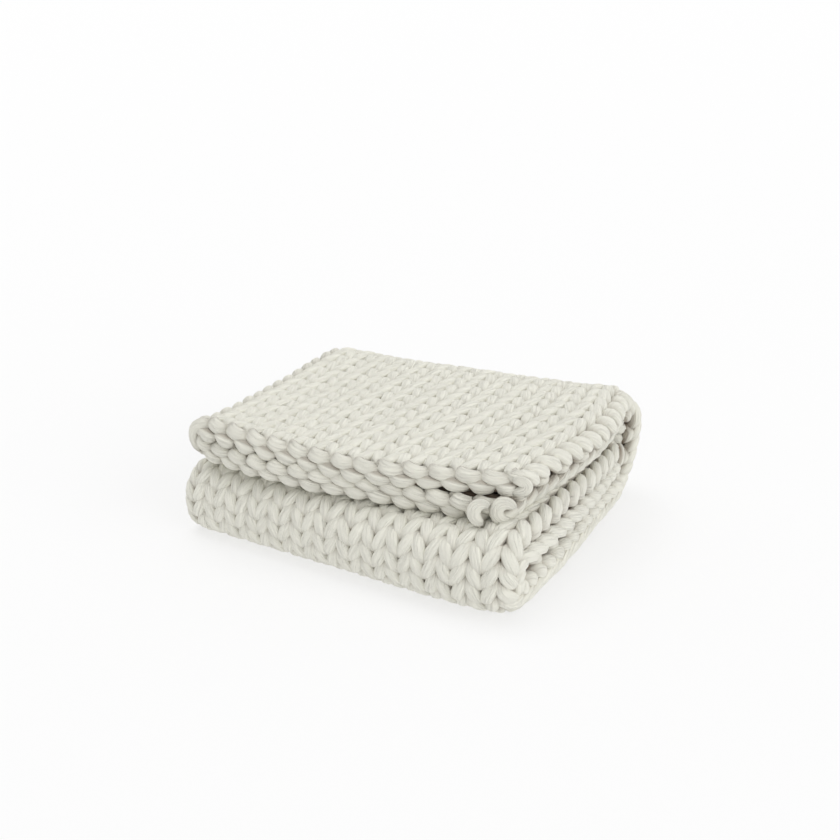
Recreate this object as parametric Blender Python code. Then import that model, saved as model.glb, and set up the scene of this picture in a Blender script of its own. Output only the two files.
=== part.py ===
"""Chunky knitted weighted blanket, doubled across its width and folded in three along its length.

Frame: X runs along the front of the stack, +Y goes to its back, Z is up, and the underside is at Z = 0.
The cloth is one thick sheet. First it is doubled: the fold lies at the left end and both selvedges
lie at the right. The doubled cloth is then folded in three: its hidden end lies between the other
two runs, it turns down at the front, runs back underneath, turns up at the back and comes forward on top.
"""

import math

import bmesh
import bpy

# The knitting, in metres
STITCH_WIDTH = 0.042
COLUMNS = 28
FLAT_WIDTH = STITCH_WIDTH * COLUMNS
LOWER_PLY = 0.0295
TOP_PLY = 0.0345
PLY_GAP = 0.0015
RUN_GAP = 0.003

# The folded stack, measured at its tall right-hand end
STACK_DEPTH = 0.508
LOWER_RUN = 2 * LOWER_PLY + PLY_GAP
TOP_RUN = 2 * TOP_PLY + PLY_GAP
STACK_HEIGHT = 2 * LOWER_RUN + 2 * RUN_GAP + TOP_RUN

# The three turns. Roundness is the corner radius as a share of half the height of the turn.
FRONT_TURN_RADIUS = LOWER_RUN + RUN_GAP / 2
BACK_TURN_RADIUS = STACK_HEIGHT / 2
FRONT_ROUNDNESS = 0.80
BACK_ROUNDNESS = 0.84
SIDE_ROUNDNESS = 0.85
FRONT_TURN_Y = FRONT_ROUNDNESS * FRONT_TURN_RADIUS
BACK_TURN_Y = STACK_DEPTH - BACK_ROUNDNESS * BACK_TURN_RADIUS
SIDE_TURN_LENGTH = STITCH_WIDTH
PLY_LENGTH = (FLAT_WIDTH - SIDE_TURN_LENGTH) / 2
STACK_LENGTH = PLY_LENGTH + SIDE_ROUNDNESS * LOWER_RUN / 2

# The free edges
HIDDEN_END_REACH = 0.010
FRONT_EDGE_Y = 0.006
UPPER_EDGE_SETBACK = 0.040
EDGE_ROUNDING = 0.016
EDGE_THINNESS = 0.35
EDGE_PLUMPNESS = 0.10
EDGE_PLUMP_REACH = 0.055
DROOP = 0.008
DROOP_REACH = 0.060

# How far the selvedges lie outside (+) or inside (-) the nominal right-hand end
SELVEDGE_OFFSETS = {
    "hidden end": (-0.014, -0.010),
    "front turn": (-0.012, -0.018),
    "underneath": (-0.020, -0.014),
    "back turn": (0.004, -0.006),
    "front edge": (0.012, -0.022),
}

# The whole stack leans and tapers
LEFT_HEIGHT_SHARE = 0.86
LEFT_DEPTH_SHARE = 0.892
BACK_DRAW_IN = 0.083
FRONT_CORNER_SETBACK = 0.018
FRONT_CORNER_REACH = 0.110
TOP_SIDE_INSET = 0.014
TOP_SWELL = 0.0035

# Mesh steps
RUN_STEPS = 8
FRONT_TURN_STEPS = 9
BACK_TURN_STEPS = 11
PLY_STEPS = 10
SIDE_TURN_STEPS = 6
EDGE_SHARES = (0.0, 0.25, 0.65)

YARN_COLOUR = (0.79, 0.77, 0.71, 1.0)
YARN_ROUGHNESS = 0.9


def smooth_step(value):
    value = min(max(value, 0.0), 1.0)
    return value * value * (3 - 2 * value)


def half_turn_length(radius, roundness):
    """Length of half a rounded square whose half height is radius."""
    return radius * (math.pi * roundness + 2 * (1 - roundness))


def half_turn(share, radius, roundness):
    """A point on half a rounded square: how far it stands out, and its height above the middle."""
    corner = roundness * radius
    arc = math.pi / 2 * corner
    flat = 2 * (radius - corner)
    walked = share * (2 * arc + flat)
    if walked < arc:
        angle = walked / corner
        return corner * math.sin(angle), radius - corner * (1 - math.cos(angle))
    if walked < arc + flat:
        return corner, radius - corner - (walked - arc)
    angle = (walked - arc - flat) / corner
    return corner * math.cos(angle), corner - radius - corner * math.sin(angle)


# Each stretch of the doubled cloth: its name, its length at mid height and its mesh steps
STRETCHES = (
    ("middle run", BACK_TURN_Y + HIDDEN_END_REACH - FRONT_TURN_Y, RUN_STEPS),
    ("front turn", half_turn_length(FRONT_TURN_RADIUS - LOWER_RUN / 2, FRONT_ROUNDNESS), FRONT_TURN_STEPS),
    ("bottom run", BACK_TURN_Y - FRONT_TURN_Y, RUN_STEPS),
    ("back turn", half_turn_length(BACK_TURN_RADIUS - TOP_RUN / 2, BACK_ROUNDNESS), BACK_TURN_STEPS),
    ("top run", BACK_TURN_Y - FRONT_EDGE_Y, RUN_STEPS + 1),
)
FLAT_LENGTH = sum(length for _, length, _ in STRETCHES)


def selvedge_offset(share, ply):
    """Offset of one ply's selvedge at a share of the cloth's length, eased between the named places."""
    places = list(SELVEDGE_OFFSETS.values())
    position = share * (len(places) - 1)
    first = min(int(position), len(places) - 2)
    blend = smooth_step(position - first)
    return places[first][ply] * (1 - blend) + places[first + 1][ply] * blend


def ply_thickness(stretch, share):
    """The plies lie pressed in the lower stack and swell on the way up the back."""
    if stretch == "back turn":
        return LOWER_PLY + (TOP_PLY - LOWER_PLY) * smooth_step(share)
    return TOP_PLY if stretch == "top run" else LOWER_PLY


def doubled_cloth(across, swell, thickness, offset, inset):
    """A place on the doubled cloth: x, and its depth below the outer face of the pair of plies.

    across starts at the selvedge of the outer ply, and swell is the height above the middle of the ply.
    """
    pair = 2 * thickness + PLY_GAP
    radius = PLY_GAP / 2 + thickness / 2 + swell
    side_centre = SIDE_ROUNDNESS * pair / 2 + inset
    stretch = 1 + (offset - inset) / PLY_LENGTH
    if across < PLY_LENGTH:
        return side_centre + (PLY_LENGTH - across) * stretch, pair / 2 - radius
    if across > FLAT_WIDTH - PLY_LENGTH:
        return side_centre + (across - FLAT_WIDTH + PLY_LENGTH) * stretch, pair / 2 + radius
    share = (across - PLY_LENGTH) / SIDE_TURN_LENGTH
    outward, height = half_turn(share, radius, SIDE_ROUNDNESS)
    return side_centre - outward, pair / 2 - height


def front_edge_y(across):
    """The front edge of the upper ply is drawn back towards the right-hand end."""
    setback = 1 - smooth_step(across / (FLAT_WIDTH / 2))
    return FRONT_EDGE_Y + UPPER_EDGE_SETBACK * setback


def folded_in_three(stretch, share, depth, across):
    """Turn a place along the doubled cloth and a depth below its outer face into y and z."""
    if stretch == "middle run":
        y = FRONT_TURN_Y + (BACK_TURN_Y + HIDDEN_END_REACH - FRONT_TURN_Y) * (1 - share)
        return y, 2 * LOWER_RUN + RUN_GAP - depth
    if stretch == "front turn":
        outward, height = half_turn(share, FRONT_TURN_RADIUS - depth, FRONT_ROUNDNESS)
        return FRONT_TURN_Y - outward, FRONT_TURN_RADIUS + height
    if stretch == "bottom run":
        return FRONT_TURN_Y + (BACK_TURN_Y - FRONT_TURN_Y) * share, depth
    if stretch == "back turn":
        outward, height = half_turn(share, BACK_TURN_RADIUS - depth, BACK_ROUNDNESS)
        return BACK_TURN_Y + outward, BACK_TURN_RADIUS - height
    y = BACK_TURN_Y + (front_edge_y(across) - BACK_TURN_Y) * share
    droop = DROOP * smooth_step((FRONT_EDGE_Y + DROOP_REACH - y) / DROOP_REACH)
    return y, STACK_HEIGHT - depth - droop


def uneven(x, y, z):
    """The soft stack is lower and shallower at its left end, and its top swells and dips a little."""
    right_share = min(max(x / STACK_LENGTH, 0.0), 1.0)
    y *= LEFT_DEPTH_SHARE + (1 - LEFT_DEPTH_SHARE) * right_share
    corner = smooth_step((x - STACK_LENGTH + FRONT_CORNER_REACH) / FRONT_CORNER_REACH)
    y += FRONT_CORNER_SETBACK * corner * (1 - y / STACK_DEPTH) ** 4
    x -= BACK_DRAW_IN * x * y / STACK_DEPTH
    height_share = LEFT_HEIGHT_SHARE + (1 - LEFT_HEIGHT_SHARE) * right_share
    swell = TOP_SWELL * math.sin(9 * x + 1) * math.cos(13 * y) * (z / STACK_HEIGHT) ** 2
    return x, y, z * height_share + swell


def edge_fullness(across, along, side):
    """Half thickness as a share: rounded off at every free edge, its outer face plump at the front."""
    margin = min(across, FLAT_WIDTH - across, along, FLAT_LENGTH - along)
    missing = 1 - min(margin / EDGE_ROUNDING, 1.0)
    rounding = EDGE_THINNESS + (1 - EDGE_THINNESS) * math.sqrt(1 - missing * missing)
    if side < 0:
        return rounding
    return rounding * (1 + EDGE_PLUMPNESS * smooth_step(1 - (FLAT_LENGTH - along) / EDGE_PLUMP_REACH))


def stations_along():
    """Places along the cloth, as stretch, share of that stretch and distance from the hidden end."""
    stations = []
    start = 0.0
    for index, (name, length, steps) in enumerate(STRETCHES):
        shares = [step / steps for step in range(steps)]
        if index == 0:
            edge = [share * EDGE_ROUNDING / length for share in EDGE_SHARES]
            shares = edge + shares[1:]
        if index == len(STRETCHES) - 1:
            shares += [1 - share * EDGE_ROUNDING / length for share in reversed(EDGE_SHARES)]
        stations += [(name, share, start + share * length) for share in shares]
        start += length
    return stations


def stations_across():
    """Places across the cloth, from the outer ply's selvedge round the side fold to the inner ply's."""
    edge = [share * EDGE_ROUNDING for share in EDGE_SHARES]
    ply = [PLY_LENGTH * step / PLY_STEPS for step in range(1, PLY_STEPS)]
    turn = [PLY_LENGTH + SIDE_TURN_LENGTH * step / SIDE_TURN_STEPS for step in range(SIDE_TURN_STEPS + 1)]
    first = edge + ply
    return first + turn + [FLAT_WIDTH - place for place in reversed(first)]


def cloth_point(station, across, side):
    """One point of the cloth's outer face (side = 1) or inner face (side = -1)."""
    stretch, share, along = station
    thickness = ply_thickness(stretch, share)
    swell = side * thickness / 2 * edge_fullness(across, along, side)
    ply = 0 if across < FLAT_WIDTH / 2 else 1
    offset = selvedge_offset(along / FLAT_LENGTH, ply)
    inset = TOP_SIDE_INSET * smooth_step(share) if stretch == "top run" else 0.0
    x, depth = doubled_cloth(across, swell, thickness, offset, inset)
    y, z = folded_in_three(stretch, share, depth, across)
    return uneven(x, y, z)


def centre_on_underside(mesh):
    """Put the origin under the middle of the stack's plan, on the surface that it rests on."""
    shift = [0.0, 0.0, 0.0]
    for axis in (0, 1):
        places = [vert.co[axis] for vert in mesh.verts]
        shift[axis] = -(min(places) + max(places)) / 2
    bmesh.ops.translate(mesh, verts=mesh.verts, vec=shift)


def build_cloth():
    """The folded sheet: an outer and an inner grid of points, joined round all four free edges."""
    mesh = bmesh.new()
    along, across = stations_along(), stations_across()
    grids = [
        [[mesh.verts.new(cloth_point(station, place, side)) for place in across] for station in along]
        for side in (1, -1)
    ]
    outer, inner = grids
    rows, columns = len(along), len(across)
    for row in range(rows - 1):
        for column in range(columns - 1):
            for grid in grids:
                mesh.faces.new((grid[row][column], grid[row + 1][column],
                                grid[row + 1][column + 1], grid[row][column + 1]))
    for row in range(rows - 1):
        for column in (0, columns - 1):
            mesh.faces.new((outer[row][column], outer[row + 1][column],
                            inner[row + 1][column], inner[row][column]))
    for column in range(columns - 1):
        for row in (0, rows - 1):
            mesh.faces.new((outer[row][column], outer[row][column + 1],
                            inner[row][column + 1], inner[row][column]))
    bmesh.ops.recalc_face_normals(mesh, faces=mesh.faces)
    centre_on_underside(mesh)
    return mesh


def yarn_material():
    material = bpy.data.materials.new("cotton_tube_yarn")
    material.use_nodes = True
    shader = material.node_tree.nodes["Principled BSDF"]
    shader.inputs["Base Color"].default_value = YARN_COLOUR
    shader.inputs["Roughness"].default_value = YARN_ROUGHNESS
    shader.inputs["Metallic"].default_value = 0.0
    return material


def main():
    for item in list(bpy.data.objects):
        bpy.data.objects.remove(item, do_unlink=True)
    data = bpy.data.meshes.new("knitted_blanket")
    mesh = build_cloth()
    mesh.to_mesh(data)
    mesh.free()
    data.shade_smooth()
    data.materials.append(yarn_material())
    blanket = bpy.data.objects.new("knitted_blanket", data)
    bpy.context.scene.collection.objects.link(blanket)


main()
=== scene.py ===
"""Looks of the folded chunky knitted blanket: real loops of tube yarn, laid on the folds of its solid.

Every course is one wavy tube that follows the middle of the folded cloth. Lengths are in metres.
"""

import math

import bpy
import numpy as np
from bpy.props import FloatProperty, FloatVectorProperty, IntProperty, PointerProperty
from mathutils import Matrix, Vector


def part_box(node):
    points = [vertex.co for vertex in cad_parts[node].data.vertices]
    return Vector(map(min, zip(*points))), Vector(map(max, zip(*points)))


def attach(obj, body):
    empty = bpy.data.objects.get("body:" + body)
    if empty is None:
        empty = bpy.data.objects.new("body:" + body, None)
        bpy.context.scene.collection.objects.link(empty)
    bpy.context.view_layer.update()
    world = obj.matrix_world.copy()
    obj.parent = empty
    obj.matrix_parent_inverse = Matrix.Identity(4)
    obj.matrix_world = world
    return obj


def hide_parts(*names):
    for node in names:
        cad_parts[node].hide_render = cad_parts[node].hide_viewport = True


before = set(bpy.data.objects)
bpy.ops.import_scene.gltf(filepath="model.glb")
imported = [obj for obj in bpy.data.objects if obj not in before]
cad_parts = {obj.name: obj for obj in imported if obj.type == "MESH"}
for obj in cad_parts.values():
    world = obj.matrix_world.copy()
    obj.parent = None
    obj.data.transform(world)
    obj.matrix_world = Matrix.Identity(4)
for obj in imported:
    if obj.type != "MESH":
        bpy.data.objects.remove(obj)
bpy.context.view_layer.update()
CLOTH_NODE = "knitted_blanket"

bl_info = {
    "name": "Folded knitted blanket",
    "version": (1, 0, 0),
    "blender": (4, 5, 0),
    "location": "View3D > Sidebar > Blanket",
    "description": "Knits a chunky blanket of tube yarn on the folds of its solid",
    "category": "Object",
}

# The fold, as the solid has it, apart from the selvedges at the front edge, which lie further in
SOLID_STITCH_WIDTH = 0.042
SOLID_COLUMNS = 28
FLAT_WIDTH = SOLID_STITCH_WIDTH * SOLID_COLUMNS
LOWER_PLY = 0.0295
TOP_PLY = 0.0345
PLY_GAP = 0.0015
RUN_GAP = 0.003
STACK_DEPTH = 0.508
LOWER_RUN = 2 * LOWER_PLY + PLY_GAP
TOP_RUN = 2 * TOP_PLY + PLY_GAP
STACK_HEIGHT = 2 * LOWER_RUN + 2 * RUN_GAP + TOP_RUN
FRONT_TURN_RADIUS = LOWER_RUN + RUN_GAP / 2
BACK_TURN_RADIUS = STACK_HEIGHT / 2
FRONT_ROUNDNESS = 0.80
BACK_ROUNDNESS = 0.84
SIDE_ROUNDNESS = 0.85
FRONT_TURN_Y = FRONT_ROUNDNESS * FRONT_TURN_RADIUS
BACK_TURN_Y = STACK_DEPTH - BACK_ROUNDNESS * BACK_TURN_RADIUS
SIDE_TURN_LENGTH = SOLID_STITCH_WIDTH
PLY_LENGTH = (FLAT_WIDTH - SIDE_TURN_LENGTH) / 2
STACK_LENGTH = PLY_LENGTH + SIDE_ROUNDNESS * LOWER_RUN / 2
HIDDEN_END_REACH = 0.010
FRONT_EDGE_Y = 0.006
UPPER_EDGE_SETBACK = 0.040
DROOP = 0.008
DROOP_REACH = 0.060
SELVEDGE_OFFSETS = {
    "hidden end": (-0.014, -0.010), "front turn": (-0.012, -0.018), "underneath": (-0.020, -0.014),
    "back turn": (0.004, -0.006), "front edge": (-0.034, -0.044),
}
LEFT_HEIGHT_SHARE = 0.86
LEFT_DEPTH_SHARE = 0.892
BACK_DRAW_IN = 0.083
FRONT_CORNER_SETBACK = 0.018
FRONT_CORNER_REACH = 0.110
TOP_SIDE_INSET = 0.014
TOP_SWELL = 0.0035
SWELL_WAVES = (9, 13)

# How the knitting settles on that fold: curled selvedges, a fuller right side, raised corners
SIDE_COVER = {
    "hidden end": 1.0, "front turn": 0.85, "underneath": 1.0, "back turn": 0.2, "front edge": 0.0,
}
CURL_INSET = 0.010
CURL_REACH = 0.010
CURL_DROP = 0.0115
COVER_REACH = 0.006
COVER_DROP = 0.0045
COVER_TAIL = 0.028
COVERED_INSET = 0.030
SIDE_PUSH = 0.005
SIDE_BULGE = 0.013
LOW_SIDE_BULGE = 0.008
CROWN_DRAW_IN = 0.034
LEFT_DRAW_IN = 0.019
TOP_LEFT_DRAW_IN = 0.005
LEFT_CORNER_LIFT = 0.019
LEFT_BACK_LIFT_SHARE = 0.36
BACK_CORNER_LIFT = 0.006
BACK_SAG = 0.007
LOWER_EDGE_RAISE = 0.031
LOWER_EDGE_SETBACK = 0.060
UPPER_CORNER_SETBACK = 0.036
UPPER_CORNER_REACH = 0.30
EDGE_RAISE = 0.008
LEDGE_LIFT = 0.015
LEDGE_REACH = 0.120
LEDGE_DEPTH = 0.046

# Where a change sets in and where it is complete, as shares of the width, height, depth or stretch
LOWER_EDGE_SPAN = (0.60, 1.00)
LOWER_RAISE_SPAN = (0.56, 0.96)
UPPER_SPAN = (0.45, 0.70)
CROWN_SPAN = (1.9 / 3, 2.9 / 3)
PUSH_SPAN = (0.0, 0.5)
LEDGE_RISE_SPAN = (0.0, 0.625)
LEDGE_FALL_SPAN = (0.4, 0.0)


def smooth_step(value):
    value = min(max(value, 0.0), 1.0)
    return value * value * (3 - 2 * value)


def ramp(value, start, end):
    """0 before the start, 1 past the end and eased between them. The end may be less than the start."""
    return smooth_step((value - start) / (end - start))


def eased_between(values, share):
    """The value at a share of the way along several values, eased from each to the next."""
    position = share * (len(values) - 1)
    first = min(int(position), len(values) - 2)
    blend = smooth_step(position - first)
    return values[first] * (1 - blend) + values[first + 1] * blend


def half_turn_length(radius, roundness):
    """Length of half a rounded square whose half height is radius."""
    return radius * (math.pi * roundness + 2 * (1 - roundness))


def half_turn(share, radius, roundness):
    """A point on half a rounded square: how far it stands out, and its height above the middle."""
    corner = roundness * radius
    arc = math.pi / 2 * corner
    flat = 2 * (radius - corner)
    walked = share * (2 * arc + flat)
    if walked < arc:
        angle = walked / corner
        return corner * math.sin(angle), radius - corner * (1 - math.cos(angle))
    if walked < arc + flat:
        return corner, radius - corner - (walked - arc)
    angle = (walked - arc - flat) / corner
    return corner * math.cos(angle), corner - radius - corner * math.sin(angle)


# Each stretch of the doubled cloth, from the hidden end to the front edge, and its length at mid height
STRETCHES = {
    "middle run": BACK_TURN_Y + HIDDEN_END_REACH - FRONT_TURN_Y,
    "front turn": half_turn_length(FRONT_TURN_RADIUS - LOWER_RUN / 2, FRONT_ROUNDNESS),
    "bottom run": BACK_TURN_Y - FRONT_TURN_Y,
    "back turn": half_turn_length(BACK_TURN_RADIUS - TOP_RUN / 2, BACK_ROUNDNESS),
    "top run": BACK_TURN_Y - FRONT_EDGE_Y,
}
FLAT_LENGTH = sum(STRETCHES.values())


def stretch_at(along):
    """The stretch that holds a distance from the hidden end, and the share of it that is passed."""
    for name, length in STRETCHES.items():
        if along <= length or name == "top run":
            return name, along / length
        along -= length


def ply_thickness(stretch, share):
    """The plies lie pressed in the lower stack and swell on the way up the back."""
    if stretch == "back turn":
        return LOWER_PLY + (TOP_PLY - LOWER_PLY) * smooth_step(share)
    return TOP_PLY if stretch == "top run" else LOWER_PLY


def curled(share, edge, cover):
    """A ply curls towards its other face near a selvedge: how far out a place lies, and its drop."""
    reach = CURL_REACH + COVER_REACH * cover
    drop = CURL_DROP + COVER_DROP * cover
    start = edge - CURL_INSET - reach
    bend = drop * math.pi / 2
    past = share * (start + bend + COVER_TAIL * cover) - start
    if past <= 0:
        return start + past, 0.0
    angle = min(past, bend) / drop
    return start + reach * math.sin(angle), drop * (1 - math.cos(angle)) + max(past - bend, 0.0)


def doubled_cloth(across, thickness, offset, inset, cover):
    """The middle of a ply of the doubled cloth: x, and its depth below the outer face of the pair."""
    pair = 2 * thickness + PLY_GAP
    radius = PLY_GAP / 2 + thickness / 2
    side_centre = SIDE_ROUNDNESS * pair / 2 + inset
    edge = PLY_LENGTH + offset - inset
    if across < PLY_LENGTH:
        reach, drop = curled(1 - across / PLY_LENGTH, edge, cover)
        return side_centre + reach, pair / 2 - radius + drop
    if across > FLAT_WIDTH - PLY_LENGTH:
        share = (across - FLAT_WIDTH + PLY_LENGTH) / PLY_LENGTH
        reach, drop = curled(share, edge - COVERED_INSET * cover, 0.0)
        return side_centre + reach, pair / 2 + radius - drop
    share = (across - PLY_LENGTH) / SIDE_TURN_LENGTH
    outward, height = half_turn(share, radius, SIDE_ROUNDNESS)
    return side_centre - outward, pair / 2 - height


def front_edge_y(across):
    """Both front edges are drawn back towards the right-hand end, the upper one more."""
    upper = UPPER_EDGE_SETBACK * ramp(across, FLAT_WIDTH / 2, 0.0)
    corner = UPPER_CORNER_SETBACK * ramp(across, UPPER_CORNER_REACH, 0.0)
    lower = LOWER_EDGE_SETBACK * ramp(across / FLAT_WIDTH, *LOWER_EDGE_SPAN)
    return FRONT_EDGE_Y + upper + corner + lower


def folded_in_three(stretch, share, depth, across):
    """Turn a place along the doubled cloth and a depth below its outer face into y and z."""
    ledge = LEDGE_LIFT * ramp(across, LEDGE_REACH, 0.0) * ramp(depth - LOWER_PLY / 2, LEDGE_DEPTH, 0.0)
    if stretch == "middle run":
        y = FRONT_TURN_Y + (BACK_TURN_Y + HIDDEN_END_REACH - FRONT_TURN_Y) * (1 - share)
        return y, 2 * LOWER_RUN + RUN_GAP - depth + ledge * ramp(share, *LEDGE_RISE_SPAN)
    if stretch == "front turn":
        outward, height = half_turn(share, FRONT_TURN_RADIUS - depth, FRONT_ROUNDNESS)
        height += ledge * ramp(share, *LEDGE_FALL_SPAN)
        return FRONT_TURN_Y - outward, FRONT_TURN_RADIUS + height
    if stretch == "bottom run":
        return FRONT_TURN_Y + (BACK_TURN_Y - FRONT_TURN_Y) * share, depth
    if stretch == "back turn":
        outward, height = half_turn(share, BACK_TURN_RADIUS - depth, BACK_ROUNDNESS)
        return BACK_TURN_Y + outward, BACK_TURN_RADIUS - height
    y = BACK_TURN_Y + (front_edge_y(across) - BACK_TURN_Y) * share
    width_share = across / FLAT_WIDTH
    droop = DROOP * smooth_step(abs(4 * width_share - 2))
    droop -= EDGE_RAISE + (LOWER_EDGE_RAISE - EDGE_RAISE) * ramp(width_share, *LOWER_RAISE_SPAN)
    droop *= ramp(y, FRONT_EDGE_Y + DROOP_REACH, FRONT_EDGE_Y)
    return y, STACK_HEIGHT - depth - droop


def uneven(x, y, z):
    """The soft stack is lower and shallower at its left end, and its top and sides swell a little."""
    right_share = min(max(x / STACK_LENGTH, 0.0), 1.0)
    left_share = 1 - right_share
    y *= LEFT_DEPTH_SHARE + (1 - LEFT_DEPTH_SHARE) * right_share
    corner = ramp(x, STACK_LENGTH - FRONT_CORNER_REACH, STACK_LENGTH)
    y += FRONT_CORNER_SETBACK * corner * (1 - y / STACK_DEPTH) ** 4
    back_share = min(max(y / STACK_DEPTH, 0.0), 1.0)
    x -= BACK_DRAW_IN * x * y / STACK_DEPTH
    waves = math.sin(SWELL_WAVES[0] * x + 1) * math.cos(SWELL_WAVES[1] * y)
    swell = TOP_SWELL * waves * (z / STACK_HEIGHT) ** 2
    upper = ramp(z / STACK_HEIGHT, *UPPER_SPAN)
    front_lift = (1 - LEFT_BACK_LIFT_SHARE) * (1 - back_share) ** 2
    lift = LEFT_CORNER_LIFT * left_share**3 * (LEFT_BACK_LIFT_SHARE + front_lift)
    lift += BACK_CORNER_LIFT * (right_share * back_share) ** 3
    lift -= BACK_SAG * math.sin(math.pi * min(2 * right_share, 1.0)) * back_share**3
    bulge = (SIDE_BULGE + LOW_SIDE_BULGE * (1 - upper)) * math.sin(math.pi * back_share)
    crown = CROWN_DRAW_IN * ramp(z / STACK_HEIGHT, *CROWN_SPAN) * back_share**3
    x += (SIDE_PUSH * ramp(back_share, *PUSH_SPAN) + bulge - crown) * right_share**3
    x += (LEFT_DRAW_IN + TOP_LEFT_DRAW_IN * upper * (1 - back_share)) * left_share**3
    height_share = LEFT_HEIGHT_SHARE + (1 - LEFT_HEIGHT_SHARE) * right_share
    return x, y, z * height_share + swell + lift * upper


def folded_place(across, along, rise=0.0):
    """A place on the cloth, raised from its middle to the fold's outside, and half its thickness."""
    stretch, share = stretch_at(along)
    thickness = ply_thickness(stretch, share)
    ply = int(across > FLAT_WIDTH / 2)
    offset = eased_between([offsets[ply] for offsets in SELVEDGE_OFFSETS.values()], along / FLAT_LENGTH)
    cover = eased_between(list(SIDE_COVER.values()), along / FLAT_LENGTH)
    inset = TOP_SIDE_INSET * smooth_step(share) if stretch == "top run" else 0.0
    x, depth = doubled_cloth(across, thickness, offset, inset, cover)
    y, z = folded_in_three(stretch, share, depth - rise, across)
    return (*uneven(x, y, z), thickness / 2)


# ---- Sizes and colours a user may change


def metres(name, description, default):
    return FloatProperty(name=name, description=description, default=default, subtype="DISTANCE")


def number(name, description, default):
    return FloatProperty(name=name, description=description, default=default)


def degrees(name, description, default):
    return FloatProperty(
        name=name, description=description, default=math.radians(default), subtype="ANGLE"
    )


def rgb(name, description, red, green, blue):
    return FloatVectorProperty(
        name=name, description=description, default=(red, green, blue, 1.0), size=4, subtype="COLOR",
        min=0, max=1,
    )


class YarnSizes(bpy.types.PropertyGroup):
    """Sizes of the yarn and its loops."""

    columns: IntProperty(name="Columns", description="Stitches across the flat cloth", default=28, min=2)
    rows: IntProperty(name="Rows", description="Rows along the flat cloth", default=50, min=2)
    yarn_width: metres("Yarn Width", "Width of a leg of a stitch", 0.0187)
    flatness: number("Flatness", "Thickness of the pressed yarn as a share of its width", 0.92)
    loop_height: number("Loop Height", "Half height of a loop, in rows", 1.06)
    loop_lean: number("Loop Lean", "How far the legs swing sideways, in columns", 0.235)
    fullness: number("Fullness", "How much fuller the legs are than the hidden turns", 0.13)
    unevenness: metres("Unevenness", "How far hand-made loops stray", 0.0028)
    side_edge: metres("Side Edge", "Bare strip kept for the selvedge loops", 0.002)
    end_edge: metres("End Edge", "Bare strip kept for the twisted edge", 0.014)


class EdgeSizes(bpy.types.PropertyGroup):
    """Sizes of the twisted edges at the ends of the cloth."""

    yarn_width: metres("Edge Yarn Width", "Width of the yarn in the edge", 0.0192)
    coil_depth: metres("Coil Depth", "How far the edge yarn winds in and out", 0.0060)
    coil_height: metres("Coil Height", "How far the edge yarn winds up and down", 0.0022)
    coil_overlap: metres("Coil Overlap", "How far each winding runs on past its own stitch", 0.0065)
    corner_tail: metres("Corner Tail", "Length of edge yarn that runs on round a corner", 0.006)
    strand_inset: metres("Strand Inset", "How far a strand's middle lies inside the ply's faces", 0.0098)


class YarnLook(bpy.types.PropertyGroup):
    """Finish of the cotton tube yarn, and the colour of the painted shade between its loops."""

    colour: rgb("Yarn Colour", "Undyed cotton", 0.880, 0.868, 0.772)
    # Painted shade: a warm dark brown mixed into the yarn deep between the loops, where shade falls
    painted_shade_colour: rgb("Painted Shade Colour", "Painted shade deep between the loops", 0.17, 0.105, 0.055)
    roughness: FloatProperty(
        name="Roughness", description="Roughness of the jersey", default=0.92, subtype="FACTOR"
    )
    crease_depth: metres("Crease Depth", "Depth of the fine lengthwise creases", 0.0050)


class StageLook(bpy.types.PropertyGroup):
    """Floor and camera."""

    floor_colour: rgb("Floor Colour", "Plain pale floor", 0.32, 0.32, 0.32)
    floor_glow: number("Floor Glow", "Light from the lit sweep under the blanket", 0.62)
    bearing: degrees("Bearing", "Camera angle round the blanket", 31.74)
    elevation: degrees("Elevation", "Camera angle above the floor", 24.04)
    distance: metres("Distance", "Camera distance", 2.537)
    aim: FloatVectorProperty(
        name="Aim", description="Where the camera looks", default=(-0.037, 0.042, 0.135), subtype="XYZ"
    )
    lens: number("Lens", "Focal length in millimetres", 68.57)


# ---- Writing node trees as formulas


def math_method(operation, swapped=False):
    """A method that does one kind of arithmetic on a field, or on another value and the field."""
    def method(self, *others):
        values = (*others, self) if swapped else (self, *others)
        return self.math(operation, *values)
    return method


class Field:
    """A value in a node tree, with the usual arithmetic as Math nodes."""

    def __init__(self, tree, socket):
        self.tree = tree
        self.socket = socket

    def math(self, operation, *values):
        node = add_node(self.tree, "ShaderNodeMath", dict(enumerate(values)), operation=operation)
        return Field(self.tree, node.outputs[0])

    def held(self, low, high):
        return self.maximum(low).minimum(high)

    __add__ = math_method("ADD")
    __radd__ = math_method("ADD", swapped=True)
    __sub__ = math_method("SUBTRACT")
    __rsub__ = math_method("SUBTRACT", swapped=True)
    __mul__ = math_method("MULTIPLY")
    __rmul__ = math_method("MULTIPLY", swapped=True)
    __truediv__ = math_method("DIVIDE")
    power = math_method("POWER")
    minimum = math_method("MINIMUM")
    maximum = math_method("MAXIMUM")
    size = math_method("ABSOLUTE")
    root = math_method("SQRT")
    sin = math_method("SINE")
    cos = math_method("COSINE")
    tanh = math_method("TANH")


def join(tree, value, socket):
    """Link a value to a socket, or set the socket to a plain number."""
    if isinstance(value, Field):
        value = value.socket
    if isinstance(value, bpy.types.NodeSocket):
        tree.links.new(value, socket)
    else:
        socket.default_value = value


def add_node(tree, kind, inputs=None, **settings):
    """A node with its settings made and its named inputs joined."""
    node = tree.nodes.new(kind)
    for name, value in settings.items():
        setattr(node, name, value)
    for name, value in (inputs or {}).items():
        join(tree, value, node.inputs[name])
    return node


def vector_sum(tree, *vectors):
    """The sum of several vectors."""
    total = vectors[0]
    for vector in vectors[1:]:
        node = add_node(tree, "ShaderNodeVectorMath", {0: total, 1: vector}, operation="ADD")
        total = node.outputs[0]
    return total


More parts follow.
